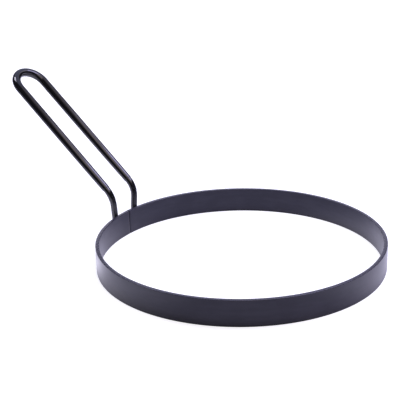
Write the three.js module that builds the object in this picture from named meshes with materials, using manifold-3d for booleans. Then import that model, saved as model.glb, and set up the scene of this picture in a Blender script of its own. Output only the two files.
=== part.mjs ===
// An egg ring: a strip of coated steel rolled into a hoop, with a bent wire handle welded to its
// outside across the butt joint, and a glossy vinyl sleeve over the part of the wire that is held.
// Millimetres, +Z up. The hoop stands on z = 0, the handle reaches out along +Y, and the origin
// is under the middle of the whole outline.

import * as THREE from "three";
import { mergeVertices } from "three/addons/utils/BufferGeometryUtils.js";
import Module from "manifold-3d";

// Hoop
const hoopOuterDiameter = 203;
const stripThickness = 2.7;
const stripHeight = 18.2;
const stripEdgeRound = 0.4;
const seamGap = 0.7;
const cutOverrun = 1;

// Handle wire
const wireDiameter = 4.5;
const wireStandOff = 0.3;
const gripSpacing = 26;
const legEndSpacing = 20;
const legEndHeight = 2.5;
const legEndChamfer = 0.4;
const cornerHeight = 33;
const bendRadius = 16;
const handleRiseDegrees = 40;
const handleRun = 111;

// Grip sleeve
const sleeveDiameter = 6.2;
const sleeveBendDiameter = 5.6;
const sleeveEndWall = 0.12;
const sleeveBoreClearance = 0.1;
const bendTaperLength = 10;
const slopeTaperLength = 28;
const lipRound = 0.06;

// Leg welds, one bead on each side of each leg
const beadStandOff = 0.3;
const beadToeReach = 2.6;
const beadWireAngleDegrees = 82;
const beadCrown = 0.25;
const beadFootMargin = 0.8;
const beadTopMargin = 2;
const beadEndLength = 1.6;
const beadEndShare = 0.35;

// Seam weld
const capWidth = 5;
const capCrown = 0.9;
const capEdgeHeight = 0.25;
const capStandOff = 0.2;
const capEndMargin = 0.9;
const capEndLength = 1.5;
const capEndShare = 0.4;
const tongueClearance = 0.1;
const tongueDepth = 1.6;

// Facets
const hoopFacets = 144;
const edgeFacets = 3;
const wireFacets = 20;
const bendFacets = 10;
const loopFacets = 14;
const beadRings = 4;
const crownFacets = 4;

// Finishes
const nonStickCoat = { color: 0x34323c, roughness: 0.5, metalness: 0 };
const wireEnamel = { color: 0x17171b, roughness: 0.3, metalness: 0 };
const glossyVinyl = { color: 0x0b0b0d, roughness: 0.12, metalness: 0 };

const hoopRadius = hoopOuterDiameter / 2;
const wireRadius = wireDiameter / 2;
const legReach = Math.sqrt((hoopRadius + wireStandOff + wireRadius) ** 2 - (legEndSpacing / 2) ** 2);

const xAxis = new THREE.Vector3(1, 0, 0);
const yAxis = new THREE.Vector3(0, 1, 0);

// The legs lean apart as they rise, in a plane that stands square to the handle's reach
const legEnd = new THREE.Vector3(legEndSpacing / 2, legReach, legEndHeight);
const legCorner = new THREE.Vector3(gripSpacing / 2, legReach, cornerHeight);

const wasm = await Module();
wasm.setup();

// Closed solids from three.js geometry, and back
function toManifold(geometry) {
  const bare = new THREE.BufferGeometry();
  bare.setAttribute("position", geometry.getAttribute("position"));
  bare.setIndex(geometry.index);
  const merged = mergeVertices(bare);
  return new wasm.Manifold(
    new wasm.Mesh({
      numProp: 3,
      vertProperties: merged.getAttribute("position").array,
      triVerts: new Uint32Array(merged.index.array),
    }),
  );
}

function toGeometry(manifold) {
  const mesh = manifold.getMesh();
  const geometry = new THREE.BufferGeometry();
  geometry.setAttribute("position", new THREE.BufferAttribute(mesh.vertProperties, mesh.numProp));
  geometry.setIndex(new THREE.BufferAttribute(mesh.triVerts, 1));
  geometry.computeVertexNormals();
  return geometry;
}

// A skin over a row of rings that all have the same number of points. The row either closes on
// itself, as a tube's outside and bore do, or has a flat cap on its first and its last ring.
function skin(rings, closed = false) {
  const count = rings[0].length;
  const index = [];
  const bands = closed ? rings.length : rings.length - 1;
  for (let ring = 0; ring < bands; ring += 1) {
    const here = ring * count;
    const next = ((ring + 1) % rings.length) * count;
    for (let side = 0; side < count; side += 1) {
      const after = (side + 1) % count;
      index.push(here + side, here + after, next + after);
      index.push(here + side, next + after, next + side);
    }
  }
  const points = rings.flat();
  if (!closed) {
    const last = (rings.length - 1) * count;
    for (const [ring, start, turned] of [
      [rings[0], 0, true],
      [rings.at(-1), last, false],
    ]) {
      for (const face of capFaces(ring)) {
        const corners = face.map((corner) => start + corner);
        index.push(...(turned ? corners.reverse() : corners));
      }
    }
  }
  const geometry = new THREE.BufferGeometry().setFromPoints(points);
  geometry.setIndex(index);
  geometry.computeVertexNormals();
  return geometry;
}

// The triangles of one flat ring, seen from the side that its own turning sense faces
function capFaces(ring) {
  const normal = new THREE.Vector3();
  ring.forEach((point, side) => {
    const following = ring[(side + 1) % ring.length];
    normal.add(point.clone().cross(following));
  });
  normal.normalize();
  const across = ring[1].clone().sub(ring[0]).normalize();
  const upward = normal.clone().cross(across);
  const flat = ring.map((point) => new THREE.Vector2(point.dot(across), point.dot(upward)));
  return THREE.ShapeUtils.triangulateShape(flat, []);
}

// The hoop: a rounded rectangle turned about the vertical axis, parted at the butt joint
function stripProfile() {
  const inner = hoopRadius - stripThickness + stripEdgeRound;
  const outer = hoopRadius - stripEdgeRound;
  const low = stripEdgeRound;
  const high = stripHeight - stripEdgeRound;
  const points = [];
  [
    [outer, low, -Math.PI / 2],
    [outer, high, 0],
    [inner, high, Math.PI / 2],
    [inner, low, Math.PI],
  ].forEach(([x, y, start]) => {
    for (let step = 0; step <= edgeFacets; step += 1) {
      const angle = start + ((Math.PI / 2) * step) / edgeFacets;
      points.push(
        new THREE.Vector2(x + stripEdgeRound * Math.cos(angle), y + stripEdgeRound * Math.sin(angle)),
      );
    }
  });
  points.push(points[0].clone());
  return points;
}

function hoopGeometry() {
  const turned = new THREE.LatheGeometry(stripProfile(), hoopFacets).rotateX(Math.PI / 2);
  const cut = new THREE.BoxGeometry(
    seamGap,
    stripThickness + 2 * cutOverrun,
    stripHeight + 2 * cutOverrun,
  ).translate(0, hoopRadius - stripThickness / 2, stripHeight / 2);
  return toGeometry(toManifold(turned).subtract(toManifold(cut)));
}

// The wire's centre line, drawn piece by piece from one leg's end to the other's
class CentreLine {
  constructor(start, heading) {
    this.point = start.clone();
    this.heading = heading.clone();
    this.pieces = [];
    this.length = 0;
  }

  add(length, facets, place) {
    this.pieces.push({ start: this.length, length, facets, place });
    this.length += length;
    const end = place(length);
    this.point = end.point;
    this.heading = end.tangent;
  }

  run(length) {
    const from = this.point;
    const tangent = this.heading;
    this.add(length, 1, (along) => ({
      point: from.clone().addScaledVector(tangent, along),
      tangent,
    }));
  }

  turn(heading, radius, facets) {
    const from = this.point;
    const tangent = this.heading;
    const inward = heading.clone().addScaledVector(tangent, -tangent.dot(heading)).normalize();
    const centre = from.clone().addScaledVector(inward, radius);
    this.add(radius * tangent.angleTo(heading), facets, (along) => {
      const angle = along / radius;
      return {
        point: centre
          .clone()
          .addScaledVector(inward, -radius * Math.cos(angle))
          .addScaledVector(tangent, radius * Math.sin(angle)),
        tangent: tangent
          .clone()
          .multiplyScalar(Math.cos(angle))
          .addScaledVector(inward, Math.sin(angle)),
      };
    });
  }

  at(along) {
    const piece = this.pieces.findLast(({ start }) => along >= start) ?? this.pieces[0];
    return { along, ...piece.place(along - piece.start) };
  }

  // The lengths along the line at which its shape needs a ring
  stations() {
    const found = [0];
    for (const { start, length, facets } of this.pieces) {
      for (let step = 1; step <= facets; step += 1) {
        found.push(start + (length * step) / facets);
      }
    }
    return found;
  }
}

function wireLine() {
  const rise = THREE.MathUtils.degToRad(handleRiseDegrees);
  const outward = new THREE.Vector3(0, Math.cos(rise), Math.sin(rise));
  const inward = outward.clone().negate();
  const downLeg = legEnd.clone().sub(legCorner).normalize();
  const upLeg = downLeg.clone().reflect(xAxis).negate();
  const setBack = bendRadius * Math.tan(upLeg.angleTo(outward) / 2);
  const legRun = legEnd.distanceTo(legCorner) - setBack;
  const slopeRun = handleRun - setBack;
  const line = new CentreLine(legEnd.clone().reflect(xAxis), upLeg);
  line.run(legRun);
  line.turn(outward, bendRadius, bendFacets);
  line.slopeStart = line.length;
  line.run(slopeRun);
  line.turn(xAxis, gripSpacing / 2, loopFacets);
  line.turn(inward, gripSpacing / 2, loopFacets);
  line.run(slopeRun);
  line.turn(downLeg, bendRadius, bendFacets);
  line.run(legRun);
  return line;
}

// Round sections square to a line, turned as little as possible from each to the next
function roundSections(line, stops) {
  const side = xAxis.clone();
  let before = null;
  return stops.map(({ along, radius }) => {
    const { point, tangent } = line.at(along);
    if (before) {
      side.applyQuaternion(new THREE.Quaternion().setFromUnitVectors(before, tangent));
    }
    before = tangent;
    const other = tangent.clone().cross(side);
    return Array.from({ length: wireFacets }, (_, facet) => {
      const angle = (2 * Math.PI * facet) / wireFacets;
      return point
        .clone()
        .addScaledVector(side, radius * Math.cos(angle))
        .addScaledVector(other, radius * Math.sin(angle));
    });
  });
}

function wireGeometry(line) {
  const body = line
    .stations()
    .slice(1, -1)
    .map((along) => ({ along, radius: wireRadius }));
  const end = (along, radius) => ({ along, radius });
  return skin(
    roundSections(line, [
      end(0, wireRadius - legEndChamfer),
      end(legEndChamfer, wireRadius),
      ...body,
      end(line.length - legEndChamfer, wireRadius),
      end(line.length, wireRadius - legEndChamfer),
    ]),
  );
}

// The sleeve's outside radius at a distance from its end. It thickens quickly round the bend and
// slowly up the slope, as a dipped coat does.
const sleeveLip = wireRadius + sleeveBoreClearance + sleeveEndWall;
const sleeveSteps = [
  { reach: 0, radius: sleeveLip - lipRound },
  { reach: lipRound, radius: sleeveLip },
  { reach: bendTaperLength, radius: sleeveBendDiameter / 2 },
  { reach: bendTaperLength + slopeTaperLength, radius: sleeveDiameter / 2 },
];

function sleeveRadius(distance) {
  const next = sleeveSteps.findIndex(({ reach }) => reach > distance);
  if (next < 0) {
    return sleeveDiameter / 2;
  }
  const from = sleeveSteps[next - 1];
  const to = sleeveSteps[next];
  return THREE.MathUtils.mapLinear(distance, from.reach, to.reach, from.radius, to.radius);
}

function sleeveGeometry(line) {
  const first = line.slopeStart - bendTaperLength;
  const last = line.length - first;
  const marks = sleeveSteps.flatMap(({ reach }) => [first + reach, last - reach]);
  const bends = line.stations().filter((along) => along > first && along < last);
  const apart = bends.filter((along) => marks.every((mark) => Math.abs(mark - along) > lipRound));
  const outside = [...marks, ...apart]
    .sort((one, other) => one - other)
    .map((along) => ({ along, radius: sleeveRadius(Math.min(along - first, last - along)) }));
  const bore = [first, ...bends, last].map((along) => ({
    along,
    radius: wireRadius + sleeveBoreClearance,
  }));
  return skin([...roundSections(line, outside), ...roundSections(line, bore).reverse()], true);
}

// A weld bead: flat sections of a given share of the full size, stacked upwards, that shrink in
// a quarter round at both ends
function beadGeometry(section, bottom, top, endLength, endShare) {
  const rings = [];
  const ring = (height, share) =>
    rings.push(section(share, height).map(([x, y]) => new THREE.Vector3(x, y, height)));
  const ends = Array.from({ length: beadRings + 1 }, (_, step) => {
    const angle = ((Math.PI / 2) * step) / beadRings;
    return [endLength * (1 - Math.cos(angle)), endShare + (1 - endShare) * Math.sin(angle)];
  });
  ends.forEach(([depth, share]) => ring(bottom + depth, share));
  ends.reverse().forEach(([depth, share]) => ring(top - depth, share));
  return skin(rings);
}

// A leg bead's section in plan, in the corner between the hoop and one leg at the given height.
// It runs in along the hoop, out round the wire, and back over a slightly full face.
function legBeadSection(leg, side) {
  const wallRadius = hoopRadius + beadStandOff;
  const wireReach = wireRadius + beadStandOff;
  const toeAngle = beadToeReach / wallRadius;
  const topOnWire = THREE.MathUtils.degToRad(beadWireAngleDegrees);
  return (share, height) => {
    const centre = legEnd.clone().lerp(
      legCorner,
      (height - legEndHeight) / (cornerHeight - legEndHeight),
    );
    const legRadius = Math.hypot(centre.x, centre.y);
    const angle = leg * Math.atan2(centre.x, centre.y);
    const rootAngle = Math.acos(
      (wallRadius ** 2 + legRadius ** 2 - wireReach ** 2) / (2 * wallRadius * legRadius),
    );
    const rootOnWire = Math.acos(
      (legRadius ** 2 + wireReach ** 2 - wallRadius ** 2) / (2 * legRadius * wireReach),
    );
    const onWall = (turn) => [wallRadius * Math.sin(turn), wallRadius * Math.cos(turn)];
    const onWire = (turn) => [wireReach * Math.sin(turn), legRadius - wireReach * Math.cos(turn)];
    const place = ([along, out]) => [
      side * along * Math.cos(angle) + out * Math.sin(angle),
      -side * along * Math.sin(angle) + out * Math.cos(angle),
    ];
    const toe = rootAngle + share * toeAngle;
    const top = rootOnWire + share * (topOnWire - rootOnWire);
    const [toeX, toeY] = onWall(toe);
    const [topX, topY] = onWire(top);
    const facing = Math.hypot(toeX - topX, toeY - topY);
    const fullness = (share * beadCrown) / facing;
    const points = [];
    for (let step = 0; step < crownFacets; step += 1) {
      points.push(onWall(toe + ((rootAngle - toe) * step) / crownFacets));
    }
    for (let step = 0; step < crownFacets; step += 1) {
      points.push(onWire(rootOnWire + ((top - rootOnWire) * step) / crownFacets));
    }
    for (let step = 0; step < crownFacets; step += 1) {
      const across = step / crownFacets;
      const lift = fullness * Math.sin(Math.PI * across);
      points.push([
        topX + (toeX - topX) * across + (topY - toeY) * lift,
        topY + (toeY - topY) * across + (toeX - topX) * lift,
      ]);
    }
    const placed = points.map(place);
    return side > 0 ? placed.reverse() : placed;
  };
}

// The seam weld's section in plan: a low cap over the joint and a tongue down into it
function seamWeldSection(share) {
  const tongueHalf = seamGap / 2 - tongueClearance;
  const tongueEnd = hoopRadius - tongueDepth;
  const seat = hoopRadius + capStandOff;
  const capAngle = (share * capWidth) / 2 / seat;
  const onSeat = (turn) => [seat * Math.sin(turn), seat * Math.cos(turn)];
  const tongueAngle = Math.asin(tongueHalf / seat);
  const points = [
    [-tongueHalf, tongueEnd],
    [tongueHalf, tongueEnd],
  ];
  for (let step = 0; step <= crownFacets; step += 1) {
    points.push(onSeat(tongueAngle + ((capAngle - tongueAngle) * step) / crownFacets));
  }
  const crownSteps = 2 * crownFacets;
  for (let step = 0; step <= crownSteps; step += 1) {
    const turn = capAngle * (1 - (2 * step) / crownSteps);
    const rise = share * (capCrown - capEdgeHeight) * Math.cos(((Math.PI / 2) * turn) / capAngle);
    const reach = seat + capEdgeHeight + rise;
    points.push([reach * Math.sin(turn), reach * Math.cos(turn)]);
  }
  for (let step = crownFacets; step >= 0; step -= 1) {
    points.push(onSeat(-tongueAngle - ((capAngle - tongueAngle) * step) / crownFacets));
  }
  return points;
}

function named(name, geometry, finish) {
  const mesh = new THREE.Mesh(geometry, new THREE.MeshStandardMaterial(finish));
  mesh.name = name;
  return mesh;
}

function legWelds() {
  const bottom = legEndHeight + beadFootMargin;
  const top = stripHeight - beadTopMargin;
  const legs = [
    ["left", -1],
    ["right", 1],
  ];
  const sides = [
    ["inner", -1],
    ["outer", 1],
  ];
  return legs.flatMap(([legName, leg]) =>
    sides.map(([sideName, side]) =>
      named(
        `${legName}_leg_${sideName}_weld`,
        beadGeometry(legBeadSection(leg, leg * side), bottom, top, beadEndLength, beadEndShare),
        nonStickCoat,
      ),
    ),
  );
}

function eggRing() {
  const line = wireLine();
  const pieces = new THREE.Group();
  pieces.add(
    named("hoop_strip", hoopGeometry(), nonStickCoat),
    named(
      "seam_weld",
      beadGeometry(
        seamWeldSection,
        capEndMargin,
        stripHeight - capEndMargin,
        capEndLength,
        capEndShare,
      ),
      nonStickCoat,
    ),
    named("handle_wire", wireGeometry(line), wireEnamel),
    named("grip_sleeve", sleeveGeometry(line), glossyVinyl),
    ...legWelds(),
  );
  const outline = new THREE.Box3().setFromObject(pieces, true);
  pieces.position.addScaledVector(yAxis, -outline.getCenter(new THREE.Vector3()).y);
  return new THREE.Group().add(pieces);
}

export default eggRing();
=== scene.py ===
import math

import bmesh
import bpy
from mathutils import Matrix, Vector


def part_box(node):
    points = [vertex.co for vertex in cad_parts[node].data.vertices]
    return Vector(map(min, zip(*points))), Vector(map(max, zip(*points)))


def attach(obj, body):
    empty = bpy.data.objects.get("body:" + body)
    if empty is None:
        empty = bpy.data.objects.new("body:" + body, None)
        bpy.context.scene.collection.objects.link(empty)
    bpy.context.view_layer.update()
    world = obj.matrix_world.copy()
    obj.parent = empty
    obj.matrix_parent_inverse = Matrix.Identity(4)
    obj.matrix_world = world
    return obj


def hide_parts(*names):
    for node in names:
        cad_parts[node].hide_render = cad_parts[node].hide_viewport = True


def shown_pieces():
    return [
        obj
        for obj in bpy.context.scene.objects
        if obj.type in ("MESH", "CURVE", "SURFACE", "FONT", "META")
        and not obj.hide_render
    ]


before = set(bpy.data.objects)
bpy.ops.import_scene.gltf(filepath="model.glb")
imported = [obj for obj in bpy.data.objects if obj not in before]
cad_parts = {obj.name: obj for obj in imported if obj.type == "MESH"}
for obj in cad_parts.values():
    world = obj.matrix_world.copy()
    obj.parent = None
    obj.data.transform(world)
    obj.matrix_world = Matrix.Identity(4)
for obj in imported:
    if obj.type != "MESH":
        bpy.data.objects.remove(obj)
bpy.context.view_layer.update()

MM = 0.001
X = Vector((1, 0, 0))
Y = Vector((0, 1, 0))
Z = Vector((0, 0, 1))

# Hoop, from the frame
strip_low, strip_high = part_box("hoop_strip")
hoop_radius = (strip_high.x - strip_low.x) / 2
hoop_centre = Vector((0, (strip_low.y + strip_high.y) / 2, 0))
strip_height = strip_high.z
strip_thickness = 2.7 * MM
strip_edge_round = 0.4 * MM
seam_gap = 0.7 * MM
seam_pinch = 0.1 * MM
seam_edge_round = 0.1 * MM
seam_flat_columns = 3

# Handle wire, drawn from the left leg's end to the middle of the loop
wire_radius = 2.25 * MM
leg_radius = 2.35 * MM
wire_stand_off = 0.3 * MM
leg_spread = 10 * MM
leg_foot_height = 2.5 * MM
leg_end_round = 0.4 * MM
grip_spread = 13 * MM
corner_height = 33 * MM
bend_radius = 16 * MM
rise_angle = math.radians(40)
handle_run = 111 * MM

leg_reach = math.sqrt((hoop_radius + wire_stand_off + wire_radius) ** 2 - leg_spread**2)
leg_foot = hoop_centre + Vector((-leg_spread, leg_reach, leg_foot_height))
leg_corner = hoop_centre + Vector((-grip_spread, leg_reach, corner_height))
up_leg = (leg_corner - leg_foot).normalized()
up_slope = Vector((0, math.cos(rise_angle), math.sin(rise_angle)))
bend_angle = up_leg.angle(up_slope)
set_back = bend_radius * math.tan(bend_angle / 2)
leg_run = (leg_corner - leg_foot).length - set_back
slope_run = handle_run - set_back

# Grip sleeve
sleeve_radius = 3.28 * MM
sleeve_shoulder_radius = 2.85 * MM
sleeve_shoulder_round = 0.3 * MM
sleeve_swell_run = 25 * MM
sleeve_film_radius = 2.62 * MM
sleeve_lip_radius = 2.47 * MM
sleeve_bore_radius = 2.3 * MM
sleeve_bend_cover = 10 * MM
sleeve_lip_bulge = 0.03 * MM

# Welds
weld_ripple_pitch = 1.1 * MM
weld_ripple_depth = 0.07
bead_radius = 1.75 * MM
bead_foot = 3.3 * MM
bead_top = 16 * MM
cap_half_width = 2.4 * MM
cap_crown = 0.85 * MM
cap_end_margin = 0.35 * MM
bead_from_leg = 2.75 * MM
bead_stand_off = 0.75 * MM
bead_depth_share = 0.95
bead_end_share = 0.45
cap_end_share = 0.4

# Texture sizes and noise levels that all the coats share
wear_patch_size = 700
wear_patch_levels = (0.42, 0.62)
streak_stretch = 6
cloud_levels = (0.8, 1.2)

# Roundness of the turned and bent shapes
hoop_steps = 300
edge_steps = 5
seam_edge_steps = 3
round_sides = 40
leg_end_steps = 4
bend_steps = 20
shoulder_steps = 4
slope_steps = 30
loop_steps = 30
bead_sides = 20
ripple_steps = 4
smooth_angle = math.radians(40)

# How near two points count as one, or a point as on a plane
merge_distance = 0.002 * MM
mirror_merge_distance = 0.02 * MM
plane_distance = 0.01 * MM
seam_face_distance = 0.02 * MM
column_distance = 0.4 * MM


def start_clean():
    """Leaves edit mode and deselects everything, the CAD nodes too."""
    if bpy.context.mode != "OBJECT":
        bpy.ops.object.mode_set(mode="OBJECT")
    bpy.ops.object.select_all(action="DESELECT")


def edit_all(piece):
    """Opens a piece in edit mode with its whole mesh selected."""
    bpy.context.view_layer.objects.active = piece
    bpy.ops.object.mode_set(mode="EDIT")
    bpy.ops.mesh.select_mode(type="VERT")
    bpy.ops.mesh.select_all(action="SELECT")


def select_points(wanted):
    """In edit mode, selects only the points whose place passes the test."""
    bpy.ops.mesh.select_all(action="DESELECT")
    shape = bmesh.from_edit_mesh(bpy.context.object.data)
    for point in shape.verts:
        point.select_set(wanted(point.co))
    shape.select_flush(True)
    bmesh.update_edit_mesh(bpy.context.object.data)


def select_ring(centre, heading, reach):
    """Selects one round section of a bar, by its centre and the bar's heading there."""
    select_points(
        lambda place: abs((place - centre).dot(heading)) < plane_distance
        and (place - centre).length < reach
    )


def apply_place(piece):
    """Applies a primitive's place, turn and scale to its mesh."""
    bpy.ops.object.transform_apply(location=True, rotation=True, scale=True)
    return piece


def face_outward(piece):
    """Merges doubles, then turns every face outward."""
    edit_all(piece)
    bpy.ops.mesh.remove_doubles(threshold=merge_distance)
    bpy.ops.mesh.normals_make_consistent(inside=False)
    bpy.ops.object.mode_set(mode="OBJECT")


def mirror_across(piece):
    """Completes a left half with its mirror image, joined where the two meet."""
    mirror = piece.modifiers.new("other_half", "MIRROR")
    mirror.use_axis = (True, False, False)
    mirror.merge_threshold = mirror_merge_distance
    bpy.ops.object.modifier_apply(modifier=mirror.name)
    face_outward(piece)


def fit_out(piece, name, material, slot, *nodes):
    """Names a finished piece, coats it and sets it in the frame in place of its CAD nodes."""
    piece.name = name
    piece.data.name = name
    piece.data.materials.clear()
    piece.data.materials.append(material)
    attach(piece, "root")
    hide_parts(*nodes)
    return piece


def section_ring(centre, heading, radius, sides, fill="NOTHING"):
    """A round section square to a heading, as a new object in place and open in edit mode."""
    start_clean()
    bpy.ops.mesh.primitive_circle_add(
        vertices=sides,
        radius=radius,
        fill_type=fill,
        location=centre,
        rotation=heading.to_track_quat("Z", "Y").to_euler(),
    )
    ring = apply_place(bpy.context.active_object)
    edit_all(ring)
    return ring


def draw_out(travel):
    """Extrudes the selected section straight on."""
    bpy.ops.mesh.extrude_region_move(TRANSFORM_OT_translate={"value": travel})


def swell(factor, centre):
    """Scales the selected section about its own centre."""
    bpy.ops.transform.resize(value=(factor, factor, factor), center_override=centre)


def bend_round(centre, axis, angle, steps):
    """Spins the selected section on round an axis, by the right-hand rule."""
    bpy.ops.mesh.spin(steps=steps, angle=angle, center=centre, axis=-axis)


def turned(place, centre, axis, angle):
    """Where a point comes to when it is turned about an axis through the centre."""
    return centre + Matrix.Rotation(angle, 3, axis) @ (place - centre)


# The bend at the foot of the slope, the sleeve's lip on it, and the half loop at its head
bend_start = leg_foot + up_leg * leg_run
bend_inward = (up_slope - up_leg * up_leg.dot(up_slope)).normalized()
bend_centre = bend_start + bend_inward * bend_radius
bend_axis = up_leg.cross(up_slope).normalized()
slope_start = turned(bend_start, bend_centre, bend_axis, bend_angle)
slope_end = slope_start + up_slope * slope_run
cover_angle = sleeve_bend_cover / bend_radius
lip = turned(slope_start, bend_centre, bend_axis, -cover_angle)
lip_heading = Matrix.Rotation(-cover_angle, 3, bend_axis) @ up_slope
loop_centre = slope_end + X * grip_spread
loop_axis = up_slope.cross(X).normalized()


# Shapes


def roll_strip():
    """The hoop: a rounded section rolled round the hoop's axis, open at the butt joint."""
    start_clean()
    bpy.ops.mesh.primitive_plane_add(
        size=1,
        location=hoop_centre + Vector((0, hoop_radius - strip_thickness / 2, strip_height / 2)),
        rotation=(0, math.radians(90), 0),
    )
    strip = bpy.context.active_object
    strip.scale = (strip_height, strip_thickness, 1)
    apply_place(strip)
    edit_all(strip)
    bpy.ops.mesh.bevel(offset=strip_edge_round, segments=edge_steps, affect="VERTICES")
    half_gap_angle = seam_gap / 2 / hoop_radius
    bpy.ops.mesh.select_all(action="SELECT")
    bpy.ops.transform.translate(value=(-seam_gap / 2, 0, 0))
    bend_round(hoop_centre, Z, 2 * (math.pi - half_gap_angle), hoop_steps)
    bpy.ops.object.mode_set(mode="OBJECT")
    face_outward(strip)
    soften_strip_ends(strip)
    return strip


def soften_strip_ends(strip):
    """Straightens the last few millimetres before the joint, rounds the cut ends a little and
    pinches the joint towards the base."""
    edit_all(strip)
    column_pitch = 2 * math.pi * hoop_radius / hoop_steps
    flat_start = (seam_flat_columns - 0.5) * column_pitch
    for side in (-1, 1):
        for column in range(seam_flat_columns):
            along = seam_gap / 2 + column * column_pitch
            select_points(
                lambda place: place.y > hoop_centre.y
                and abs(side * place.x - along) < column_distance
            )
            rise = (flat_start - along) ** 2 / (2 * hoop_radius)
            bpy.ops.transform.translate(value=(0, rise, 0))
    for side in (-1, 1):
        select_points(
            lambda place: place.y > hoop_centre.y
            and abs(place.x - side * seam_gap / 2) < seam_face_distance
        )
        bpy.ops.mesh.region_to_loop()
        bpy.ops.mesh.bevel(offset=seam_edge_round, segments=seam_edge_steps, affect="EDGES")
        select_points(
            lambda place: place.y > hoop_centre.y
            and 0 < side * place.x < seam_gap
            and place.z < strip_height / 2
        )
        bpy.ops.transform.translate(value=(-side * seam_pinch, 0, 0))
    bpy.ops.object.mode_set(mode="OBJECT")


def bend_wire():
    """The handle wire's left half, mirrored: leg, bend, slope and half the loop. The enamel is
    thicker on the leg than under the sleeve."""
    blunt_radius = leg_radius - leg_end_round
    wire = section_ring(leg_foot, up_leg, blunt_radius, round_sides, "NGON")
    for step in range(1, leg_end_steps + 1):
        before = math.pi / 2 * (step - 1) / leg_end_steps
        now = math.pi / 2 * step / leg_end_steps
        draw_out(up_leg * leg_end_round * (math.cos(before) - math.cos(now)))
        here = leg_foot + up_leg * leg_end_round * (1 - math.cos(now))
        radius_before = blunt_radius + leg_end_round * math.sin(before)
        radius_now = blunt_radius + leg_end_round * math.sin(now)
        swell(radius_now / radius_before, here)
    draw_out(up_leg * (leg_run - leg_end_round))
    bend_round(bend_centre, bend_axis, bend_angle - cover_angle, bend_steps // 4)
    swell(wire_radius / leg_radius, lip)
    bend_round(bend_centre, bend_axis, cover_angle, bend_steps // 2)
    draw_out(up_slope * slope_run)
    bend_round(loop_centre, loop_axis, math.pi / 2, loop_steps)
    bpy.ops.mesh.delete(type="ONLY_FACE")
    bpy.ops.object.mode_set(mode="OBJECT")
    mirror_across(wire)
    return wire


def film_profile(along):
    """The radius of the thin film that ran down the bend, at a distance from its lip."""
    share = along / sleeve_bend_cover
    return sleeve_lip_radius + (sleeve_film_radius - sleeve_lip_radius) * share


def sleeve_profile(along):
    """The sleeve's radius at a distance up the slope: the dip drained towards the loop."""
    thinning = math.exp(-along / sleeve_swell_run)
    return sleeve_radius - (sleeve_radius - sleeve_shoulder_radius) * thinning


def dip_sleeve():
    """The sleeve's left half, mirrored: the bore first, then the outside from the same lip."""
    sleeve = section_ring(lip, lip_heading, sleeve_bore_radius, round_sides)
    bend_round(bend_centre, bend_axis, cover_angle, bend_steps // 2)
    draw_out(up_slope * slope_run)
    bend_round(loop_centre, loop_axis, math.pi / 2, loop_steps)

    select_ring(lip, lip_heading, 2 * sleeve_bore_radius)
    draw_out(Vector((0, 0, 0)))
    lip_middle = (sleeve_bore_radius + sleeve_lip_radius) / 2
    swell(lip_middle / sleeve_bore_radius, lip)
    bpy.ops.transform.translate(value=-lip_heading * sleeve_lip_bulge)
    draw_out(lip_heading * sleeve_lip_bulge)
    swell(sleeve_lip_radius / lip_middle, lip)
    radius = sleeve_lip_radius

    angle = cover_angle / bend_steps
    for step in range(1, bend_steps + 1):
        bend_round(bend_centre, bend_axis, angle, 1)
        centre = turned(lip, bend_centre, bend_axis, angle * step)
        wanted = film_profile(sleeve_bend_cover * step / bend_steps)
        swell(wanted / radius, centre)
        radius = wanted

    here = slope_start
    shoulder_height = sleeve_shoulder_radius - sleeve_film_radius
    for step in range(1, shoulder_steps + 1):
        before = math.pi / 2 * (step - 1) / shoulder_steps
        now = math.pi / 2 * step / shoulder_steps
        travel = up_slope * sleeve_shoulder_round * (math.cos(before) - math.cos(now))
        draw_out(travel)
        here = here + travel
        wanted = sleeve_film_radius + shoulder_height * math.sin(now)
        swell(wanted / radius, here)
        radius = wanted
    run = (slope_run - sleeve_shoulder_round) / slope_steps
    for step in range(1, slope_steps + 1):
        draw_out(up_slope * run)
        here = here + up_slope * run
        wanted = sleeve_profile(run * step)
        swell(wanted / radius, here)
        radius = wanted
    bend_round(loop_centre, loop_axis, math.pi / 2, loop_steps)
    bpy.ops.object.mode_set(mode="OBJECT")
    mirror_across(sleeve)
    return sleeve


def lay_bead(foot, top, half_width, half_depth, outward, ends):
    """A weld bead from foot to top: an oval section stacked upwards with a ripple for each dab."""
    travel = top - foot
    heading = travel.normalized()
    bead = section_ring(foot, heading, half_width, bead_sides, "NGON")
    length = travel.length
    dabs = round(length / weld_ripple_pitch)
    steps = ripple_steps * dabs
    across = outward.cross(heading).normalized()
    turn = Matrix((across, outward, heading)).transposed()
    bpy.ops.transform.resize(
        value=(1, half_depth / half_width, 1),
        orient_type="GLOBAL",
        orient_matrix=turn,
        orient_matrix_type="GLOBAL",
        center_override=foot,
    )
    swell(ends, foot)
    size = ends
    for step in range(1, steps + 1):
        draw_out(travel / steps)
        along = step / steps
        rounding = min(1, min(along, 1 - along) * length / half_width)
        full = ends + (1 - ends) * math.sqrt(1 - (1 - rounding) ** 2)
        phase = (step % ripple_steps) / ripple_steps
        wanted = full * (1 + weld_ripple_depth * (abs(math.sin(math.pi * phase)) - 0.5))
        swell(wanted / size, foot + travel * along)
        size = wanted
    bpy.ops.object.mode_set(mode="OBJECT")
    face_outward(bead)
    return bead


# Materials


def feed(links, socket, value):
    """Sets a socket to a number, or links another socket to it."""
    if isinstance(value, (int, float)):
        socket.default_value = value
    else:
        links.new(value, socket)


def math_node(nodes, links, operation, first, second):
    """One operation on two values, each a socket or a number."""
    node = nodes.new("ShaderNodeMath")
    node.operation = operation
    feed(links, node.inputs[0], first)
    feed(links, node.inputs[1], second)
    return node.outputs["Value"]


def along_node(nodes, links, place, direction):
    """How far a place lies along a direction."""
    node = nodes.new("ShaderNodeVectorMath")
    node.operation = "DOT_PRODUCT"
    node.inputs[1].default_value = direction
    links.new(place, node.inputs[0])
    return node.outputs["Value"]


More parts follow.
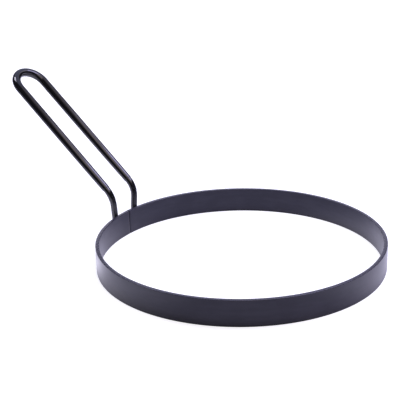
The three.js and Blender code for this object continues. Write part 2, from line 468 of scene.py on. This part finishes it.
def ease_node(nodes, links, value, start, end, low, high):
    """A smooth step from low to high while a value goes from start to end."""
    node = nodes.new("ShaderNodeMapRange")
    node.interpolation_type = "SMOOTHSTEP"
    feed(links, node.inputs["Value"], value)
    feed(links, node.inputs["From Min"], start)
    feed(links, node.inputs["From Max"], end)
    feed(links, node.inputs["To Min"], low)
    feed(links, node.inputs["To Max"], high)
    return node.outputs["Result"]


def mix_node(nodes, links, kind, share, first, second):
    """A blend from the first value or colour to the second."""
    node = nodes.new("ShaderNodeMix")
    node.data_type = kind
    feed(links, node.inputs["Factor"], share)
    sockets = [socket for socket in node.inputs if socket.enabled and socket.name in ("A", "B")]
    feed(links, sockets[0], first)
    feed(links, sockets[1], second)
    return next(socket for socket in node.outputs if socket.enabled)


def noise_node(nodes, links, place, scale, detail):
    """Noise of a scale per metre, as a value round one half."""
    node = nodes.new("ShaderNodeTexNoise")
    node.inputs["Detail"].default_value = detail
    feed(links, node.inputs["Vector"], place)
    feed(links, node.inputs["Scale"], scale)
    return node.outputs["Fac"]


def new_group(name, inputs, outputs):
    """An empty effect with named inputs and outputs."""
    group = bpy.data.node_groups.new(name, "ShaderNodeTree")
    for label, kind, value in inputs:
        socket = group.interface.new_socket(label, in_out="INPUT", socket_type=kind)
        socket.default_value = value
    for label, kind in outputs:
        group.interface.new_socket(label, in_out="OUTPUT", socket_type=kind)
    return group, group.nodes.new("NodeGroupInput"), group.nodes.new("NodeGroupOutput")


def coat_texture_group():
    """A coat's clouds of tone and gloss, its orange peel for a bump, and patchy wear in a band
    of height."""
    group, given, result = new_group(
        "coat_texture",
        [
            ("Peel Size", "NodeSocketFloat", 900),
            ("Cloud Size", "NodeSocketFloat", 60),
            ("Dark Tone", "NodeSocketColor", (0.02, 0.02, 0.02, 1)),
            ("Light Tone", "NodeSocketColor", (0.04, 0.04, 0.04, 1)),
            ("Low Gloss", "NodeSocketFloat", 0.5),
            ("High Gloss", "NodeSocketFloat", 0.4),
            ("Wear Middle", "NodeSocketFloat", 0),
            ("Wear Start", "NodeSocketFloat", 1),
            ("Wear End", "NodeSocketFloat", 2),
            ("Wear Amount", "NodeSocketFloat", 0.5),
            ("Worn Tone", "NodeSocketColor", (0.08, 0.08, 0.08, 1)),
            ("Worn Gloss", "NodeSocketFloat", 0.3),
        ],
        [
            ("Color", "NodeSocketColor"),
            ("Roughness", "NodeSocketFloat"),
            ("Height", "NodeSocketFloat"),
        ],
    )
    nodes, links = group.nodes, group.links
    place = nodes.new("ShaderNodeTexCoord").outputs["Object"]

    clouds = noise_node(nodes, links, place, given.outputs["Cloud Size"], 4)
    streaky = nodes.new("ShaderNodeMapping")
    streaky.inputs["Scale"].default_value = (1, 1, streak_stretch)
    links.new(place, streaky.inputs["Vector"])
    streaks = noise_node(nodes, links, streaky.outputs["Vector"], given.outputs["Cloud Size"], 3)
    blend = math_node(nodes, links, "ADD", clouds, streaks)
    spread = ease_node(nodes, links, blend, *cloud_levels, 0.0, 1.0)
    tone = mix_node(nodes, links, "RGBA", spread, given.outputs["Dark Tone"], given.outputs["Light Tone"])
    gloss = mix_node(
        nodes, links, "FLOAT", clouds, given.outputs["Low Gloss"], given.outputs["High Gloss"]
    )

    height = along_node(nodes, links, place, Z)
    from_middle = math_node(nodes, links, "SUBTRACT", height, given.outputs["Wear Middle"])
    from_middle = math_node(nodes, links, "ABSOLUTE", from_middle, 0)
    band = ease_node(
        nodes, links, from_middle, given.outputs["Wear Start"], given.outputs["Wear End"], 0.0, 1.0
    )
    rubs = noise_node(nodes, links, place, wear_patch_size, 6)
    rubs = ease_node(nodes, links, rubs, *wear_patch_levels, 0.0, 1.0)
    worn = math_node(nodes, links, "MULTIPLY", band, rubs)
    worn = math_node(nodes, links, "MULTIPLY", worn, given.outputs["Wear Amount"])
    tone = mix_node(nodes, links, "RGBA", worn, tone, given.outputs["Worn Tone"])
    gloss = mix_node(nodes, links, "FLOAT", worn, gloss, given.outputs["Worn Gloss"])

    peel = noise_node(nodes, links, place, given.outputs["Peel Size"], 2)
    links.new(tone, result.inputs["Color"])
    links.new(gloss, result.inputs["Roughness"])
    links.new(peel, result.inputs["Height"])
    return group


coat_texture = coat_texture_group()


def coated(name, settings, bump_height, refraction):
    """A material whose coat texture has the given settings."""
    material = bpy.data.materials.new(name)
    material.use_nodes = True
    nodes, links = material.node_tree.nodes, material.node_tree.links
    surface = nodes["Principled BSDF"]
    surface.inputs["IOR"].default_value = refraction
    texture = nodes.new("ShaderNodeGroup")
    texture.node_tree = coat_texture
    for label, value in settings.items():
        texture.inputs[label].default_value = value
    bump = nodes.new("ShaderNodeBump")
    bump.inputs["Strength"].default_value = 1
    bump.inputs["Distance"].default_value = bump_height
    links.new(texture.outputs["Color"], surface.inputs["Base Color"])
    links.new(texture.outputs["Roughness"], surface.inputs["Roughness"])
    links.new(texture.outputs["Height"], bump.inputs["Height"])
    links.new(bump.outputs["Normal"], surface.inputs["Normal"])
    return material


# Satin coat on the strip, rubbed to a shine along the rim, where a spatula meets it
non_stick_coat = coated(
    "non_stick_coat",
    {
        "Peel Size": 900,
        "Cloud Size": 55,
        "Dark Tone": (0.025, 0.0245, 0.038, 1),
        "Light Tone": (0.0325, 0.032, 0.047, 1),
        "Low Gloss": 0.36,
        "High Gloss": 0.28,
        "Wear Middle": strip_height,
        "Wear Start": 0.9 * MM,
        "Wear End": 0.1 * MM,
        "Wear Amount": 0.85,
        "Worn Tone": (0.052, 0.05, 0.063, 1),
        "Worn Gloss": 0.18,
    },
    0.004 * MM,
    1.5,
)
# The same coat over weld metal, duller and rougher, worn lighter in patches towards the rim
weld_coat = coated(
    "weld_coat",
    {
        "Peel Size": 700,
        "Cloud Size": 320,
        "Dark Tone": (0.012, 0.011, 0.016, 1),
        "Light Tone": (0.026, 0.025, 0.034, 1),
        "Low Gloss": 0.58,
        "High Gloss": 0.4,
        "Wear Middle": 0,
        "Wear Start": 0,
        "Wear End": strip_height,
        "Wear Amount": 0.35,
        "Worn Tone": (0.07, 0.066, 0.07, 1),
        "Worn Gloss": 0.35,
    },
    0.02 * MM,
    1.5,
)
# Satin enamel on the wire, scuffed just above the rim, where a spatula knocks it
wire_enamel = coated(
    "wire_enamel",
    {
        "Peel Size": 1100,
        "Cloud Size": 120,
        "Dark Tone": (0.006, 0.006, 0.008, 1),
        "Light Tone": (0.01, 0.0098, 0.0135, 1),
        "Low Gloss": 0.34,
        "High Gloss": 0.24,
        "Wear Middle": strip_height + 2 * MM,
        "Wear Start": 4 * MM,
        "Wear End": 1 * MM,
        "Wear Amount": 0.5,
        "Worn Tone": (0.045, 0.042, 0.045, 1),
        "Worn Gloss": 0.42,
    },
    0.003 * MM,
    1.58,
)
# Glossy dipped vinyl in faint clouds of gloss, turning dull where the dip thins out to the lip
grip_vinyl = coated(
    "grip_vinyl",
    {
        "Peel Size": 160,
        "Cloud Size": 70,
        "Dark Tone": (0.0036, 0.003, 0.0027, 1),
        "Light Tone": (0.0055, 0.0045, 0.0041, 1),
        "Low Gloss": 0.12,
        "High Gloss": 0.06,
        "Wear Middle": 0,
        "Wear Start": 38 * MM,
        "Wear End": 34 * MM,
        "Wear Amount": 0.8,
        "Worn Tone": (0.012, 0.012, 0.014, 1),
        "Worn Gloss": 0.4,
    },
    0.012 * MM,
    1.58,
)


# The egg ring

fit_out(roll_strip(), "hoop", non_stick_coat, "hoop_coat", "hoop_strip")
fit_out(bend_wire(), "handle", wire_enamel, "wire_enamel", "handle_wire")
fit_out(dip_sleeve(), "grip", grip_vinyl, "grip_vinyl", "grip_sleeve")

for side_name, mirrored in (("left", 1), ("right", -1)):
    for bead_name, bead_side in (("inner", 1), ("outer", -1)):
        ends = []
        for height in (bead_foot, bead_top):
            share = (height - leg_foot_height) / (corner_height - leg_foot_height)
            leg = leg_foot.lerp(leg_corner, share) - hoop_centre
            angle = math.atan2(-leg.x, leg.y) + bead_side * -bead_from_leg / hoop_radius
            reach = hoop_radius + bead_stand_off
            ends.append(
                hoop_centre
                + Vector((-mirrored * reach * math.sin(angle), reach * math.cos(angle), height))
            )
        outward = (ends[0] - hoop_centre) * Vector((1, 1, 0))
        depth = bead_depth_share * bead_radius
        bead = lay_bead(*ends, bead_radius, depth, outward.normalized(), bead_end_share)
        node = f"{side_name}_leg_{bead_name}_weld"
        fit_out(bead, f"{side_name}_leg_{bead_name}_bead", weld_coat, "weld_coat", node)

cap_foot = hoop_centre + Vector((0, hoop_radius, cap_end_margin))
cap_top = hoop_centre + Vector((0, hoop_radius, strip_height - cap_end_margin))
seam_cap = lay_bead(cap_foot, cap_top, cap_half_width, cap_crown, Y, cap_end_share)
fit_out(seam_cap, "seam_bead", weld_coat, "weld_coat", "seam_weld")

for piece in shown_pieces():
    start_clean()
    piece.select_set(True)
    bpy.context.view_layer.objects.active = piece
    bpy.ops.object.shade_smooth_by_angle(angle=smooth_angle)


# Floor and light

photo_turn = math.radians(-57.42)
rightward = Matrix.Rotation(photo_turn, 3, Z) @ X
away = Matrix.Rotation(photo_turn, 3, Z) @ Y
floor_radius = 1.6
floor_drop = 0.01 * MM
floor_sides = 96
paper_tone = (0.61, 0.625, 0.65)
near_white = 0.72
near_white_span = (0.15, 0.35)
# Painted contact shadow: the floor's reflected glow drops to this share at the hoop's wall and is full
# again this far out
painted_contact_shadow = 0.7
painted_contact_shadow_reach = 6 * MM

# The floor's glow, in places measured from the hoop's axis to the photo's right or away from it.
# The right part's edge leans, so it lies further right in front of the hoop than behind it
glow_tint = (1.0, 0.97, 1.18)
glow_middle = 0.1
glow_left = 0.72
glow_left_span = (-0.118, -0.038)
glow_right = 0.76
glow_right_span = (0.04, 0.106)
glow_right_lean = 0.2
glow_right_front = 0.8
glow_right_front_span = (-0.1, -0.045)
glow_far = 0.1
glow_far_span = (0.12, 0.4)
glow_pool = 1.5
glow_pool_span = (-0.11, -0.09)
glow_pool_near_span = (0.12, 0.16)
glow_pool_front_span = (-0.045, 0.01)
glow_pool_back = 0.2
glow_pool_back_span = (-0.008, 0.016)
glow_back = 1.04
glow_back_span = (0.12, 0.45)
glow_back_left = 0.3
glow_back_left_span = (-0.5, -0.05)


def floor_material():
    """Pale table: paper under the lamps, and a glow that only views and reflections see, dimmed near the
    hoop's wall by a painted contact shadow.
    """
    material = bpy.data.materials.new("pale_floor")
    material.use_nodes = True
    nodes, links = material.node_tree.nodes, material.node_tree.links
    nodes.clear()
    result = nodes.new("ShaderNodeOutputMaterial")
    paper = nodes.new("ShaderNodeBsdfDiffuse")
    paper.inputs["Color"].default_value = (*paper_tone, 1)
    rays = nodes.new("ShaderNodeLightPath")

    position = nodes.new("ShaderNodeTexCoord")
    from_axis = nodes.new("ShaderNodeVectorMath")
    from_axis.operation = "SUBTRACT"
    from_axis.inputs[1].default_value = hoop_centre
    links.new(position.outputs["Object"], from_axis.inputs[0])
    place = from_axis.outputs["Vector"]
    length = nodes.new("ShaderNodeVectorMath")
    length.operation = "LENGTH"
    links.new(place, length.inputs[0])
    reach = length.outputs["Value"]

    seen = ease_node(nodes, links, reach, *near_white_span, near_white, 1.0)
    seen = math_node(nodes, links, "MULTIPLY", rays.outputs["Is Camera Ray"], seen)
    view = nodes.new("ShaderNodeEmission")
    view.inputs["Color"].default_value = (1, 1, 1, 1)
    links.new(seen, view.inputs["Strength"])

    across = along_node(nodes, links, place, rightward)
    behind = along_node(nodes, links, place, away)
    left = ease_node(nodes, links, across, *glow_left_span, glow_left, 0.0)
    right_top = glow_middle + glow_right
    leaning = math_node(nodes, links, "MULTIPLY", behind, glow_right_lean)
    leaning = math_node(nodes, links, "ADD", across, leaning)
    right = ease_node(nodes, links, leaning, *glow_right_span, glow_middle, right_top)
    right_front = ease_node(nodes, links, behind, *glow_right_front_span, glow_right_front, 1.0)
    right = math_node(nodes, links, "MULTIPLY", right, right_front)
    glow = math_node(nodes, links, "ADD", left, right)
    fade = ease_node(nodes, links, reach, *glow_far_span, 1.0, glow_far)
    glow = math_node(nodes, links, "MULTIPLY", glow, fade)
    pool = ease_node(nodes, links, across, *glow_pool_span, glow_pool, 0.0)
    pool_near = ease_node(nodes, links, reach, *glow_pool_near_span, 1.0, 0.0)
    pool_front = ease_node(nodes, links, behind, *glow_pool_front_span, 0.0, 1.0)
    pool_back = ease_node(nodes, links, behind, *glow_pool_back_span, 1.0, glow_pool_back)
    pool = math_node(nodes, links, "MULTIPLY", pool, pool_near)
    pool = math_node(nodes, links, "MULTIPLY", pool, pool_front)
    pool = math_node(nodes, links, "MULTIPLY", pool, pool_back)
    back = ease_node(nodes, links, behind, *glow_back_span, 0.0, glow_back)
    back_left = ease_node(nodes, links, across, *glow_back_left_span, glow_back_left, 1.0)
    back = math_node(nodes, links, "MULTIPLY", back, back_left)
    glow = math_node(nodes, links, "ADD", glow, pool)
    glow = math_node(nodes, links, "ADD", glow, back)
    # Painted contact shadow: the glow that reflections see is dimmed near the foot of the hoop's wall
    from_wall = math_node(nodes, links, "SUBTRACT", reach, hoop_radius - strip_thickness / 2)
    from_wall = math_node(nodes, links, "ABSOLUTE", from_wall, 0)
    painted_shadow_share = ease_node(
        nodes, links, from_wall, strip_thickness / 2, painted_contact_shadow_reach, painted_contact_shadow, 1.0
    )
    glow = math_node(nodes, links, "MULTIPLY", glow, painted_shadow_share)
    reflected = math_node(
        nodes, links, "MAXIMUM", rays.outputs["Is Glossy Ray"], rays.outputs["Is Transmission Ray"]
    )
    glow = math_node(nodes, links, "MULTIPLY", glow, reflected)
    in_gloss = nodes.new("ShaderNodeEmission")
    in_gloss.inputs["Color"].default_value = (*glow_tint, 1)
    links.new(glow, in_gloss.inputs["Strength"])

    glows = nodes.new("ShaderNodeAddShader")
    links.new(view.outputs["Emission"], glows.inputs[0])
    links.new(in_gloss.outputs["Emission"], glows.inputs[1])
    surface = nodes.new("ShaderNodeAddShader")
    links.new(paper.outputs["BSDF"], surface.inputs[0])
    links.new(glows.outputs["Shader"], surface.inputs[1])
    links.new(surface.outputs["Shader"], result.inputs["Surface"])
    return material


start_clean()
bpy.ops.mesh.primitive_circle_add(
    vertices=floor_sides, radius=floor_radius, fill_type="NGON", location=(0, 0, -floor_drop)
)
floor = apply_place(bpy.context.active_object)
floor.name = "floor"
floor.data.materials.append(floor_material())

lilac_white = (0.86, 0.83, 1.0)
sky_blue = (0.62, 0.66, 1.0)
warm_white = (1.0, 0.86, 0.87)
pale_violet = (0.76, 0.73, 1.0)
violet_blue = (0.6, 0.57, 1.0)
lamp_turn = math.radians(63.4)
lamp_row = Matrix.Rotation(photo_turn + lamp_turn, 3, Z)


def area_lamp(name, width, height, radiance, tint):
    """A rectangular lamp of a given radiance, out of the camera's sight."""
    lamp_data = bpy.data.lights.new(name, "AREA")
    lamp_data.shape = "RECTANGLE"
    lamp_data.size = width
    lamp_data.size_y = height
    lamp_data.energy = radiance * math.pi * width * height
    lamp_data.color = tint
    lamp = bpy.data.objects.new(name, lamp_data)
    bpy.context.scene.collection.objects.link(lamp)
    lamp.visible_camera = False
    return lamp


def level_softbox(name, height, left_edge, right_edge, near_end, far_end, radiance, tint):
    """A level lamp above the table, its sides measured across and along one row of lamps."""
    lamp = area_lamp(name, far_end - near_end, right_edge - left_edge, radiance, tint)
    middle = Vector(((near_end + far_end) / 2, -(left_edge + right_edge) / 2, height))
    lamp.location = lamp_row @ middle
    lamp.rotation_euler = lamp_row.to_euler()
    return lamp


# Name, height, left and right edge, near and far end, radiance, tint
softboxes = [
    ("softbox_wide", 0.54, -0.01, 0.52, -0.65, 0.75, 0.48, warm_white),
    ("softbox_edge", 0.53, 0.05, 0.5, -0.4, -0.08, 1.6, warm_white),
    ("softbox_rise", 0.535, -0.01, 0.46, -0.02, 0.55, 0.5, sky_blue),
    ("softbox_body", 0.52, 0.055, 0.47, -0.08, 0.6, 1.15, pale_violet),
    ("softbox_core", 0.51, 0.13, 0.36, 0.02, 0.36, 6.8, violet_blue),
    ("softbox_over", 0.55, -0.55, -0.01, -0.1, 0.8, 1.0, sky_blue),
    ("softbox_left", 0.5, -0.5, -0.26, -0.14, 0.03, 9.6, lilac_white),
]
for softbox in softboxes:
    level_softbox(*softbox)

backdrop_azimuth = math.radians(105)
backdrop_distance = 1.0
backdrop_middle = 0.26
backdrop_width = 1.6
backdrop_height = 0.5
backdrop_radiance = 1.1
toward_backdrop = Matrix.Rotation(photo_turn + backdrop_azimuth, 3, Z) @ X
backdrop = area_lamp(
    "backdrop_light", backdrop_width, backdrop_height, backdrop_radiance, lilac_white
)
backdrop.location = toward_backdrop * backdrop_distance + Z * backdrop_middle
backdrop.rotation_euler = toward_backdrop.to_track_quat("Z", "Y").to_euler()

room_strength = 0.1
studio = bpy.data.worlds.new("studio")
bpy.context.scene.world = studio
studio.use_nodes = True


def studio_world():
    """White for the camera, a dim even room for everything else."""
    nodes, links = studio.node_tree.nodes, studio.node_tree.links
    nodes.clear()
    result = nodes.new("ShaderNodeOutputWorld")
    rays = nodes.new("ShaderNodeLightPath")
    room = nodes.new("ShaderNodeBackground")
    room.inputs["Color"].default_value = (*sky_blue, 1)
    room.inputs["Strength"].default_value = room_strength
    white = nodes.new("ShaderNodeBackground")
    white.inputs["Color"].default_value = (1, 1, 1, 1)
    white.inputs["Strength"].default_value = 1
    in_view = nodes.new("ShaderNodeMixShader")
    links.new(rays.outputs["Is Camera Ray"], in_view.inputs["Fac"])
    links.new(room.outputs["Background"], in_view.inputs[1])
    links.new(white.outputs["Background"], in_view.inputs[2])
    links.new(in_view.outputs["Shader"], result.inputs["Surface"])


studio_world()


# Camera, from the photograph's own view of the hoop's ellipses

camera_place = (-0.559046, -0.4072, 0.291501)
camera_turn = (math.radians(69.7016), math.radians(1.3767), math.radians(-55.5357))
camera_lens = 92.159
camera_sensor = 36

camera_data = bpy.data.cameras.new("photo_camera")
camera_data.sensor_width = camera_sensor
camera_data.lens = camera_lens
camera_data.clip_start = 0.01
camera_data.clip_end = 20
camera = bpy.data.objects.new("photo_camera", camera_data)
bpy.context.scene.collection.objects.link(camera)
camera.location = camera_place
camera.rotation_euler = camera_turn
bpy.context.scene.camera = camera

bpy.context.scene.view_settings.view_transform = "Standard"
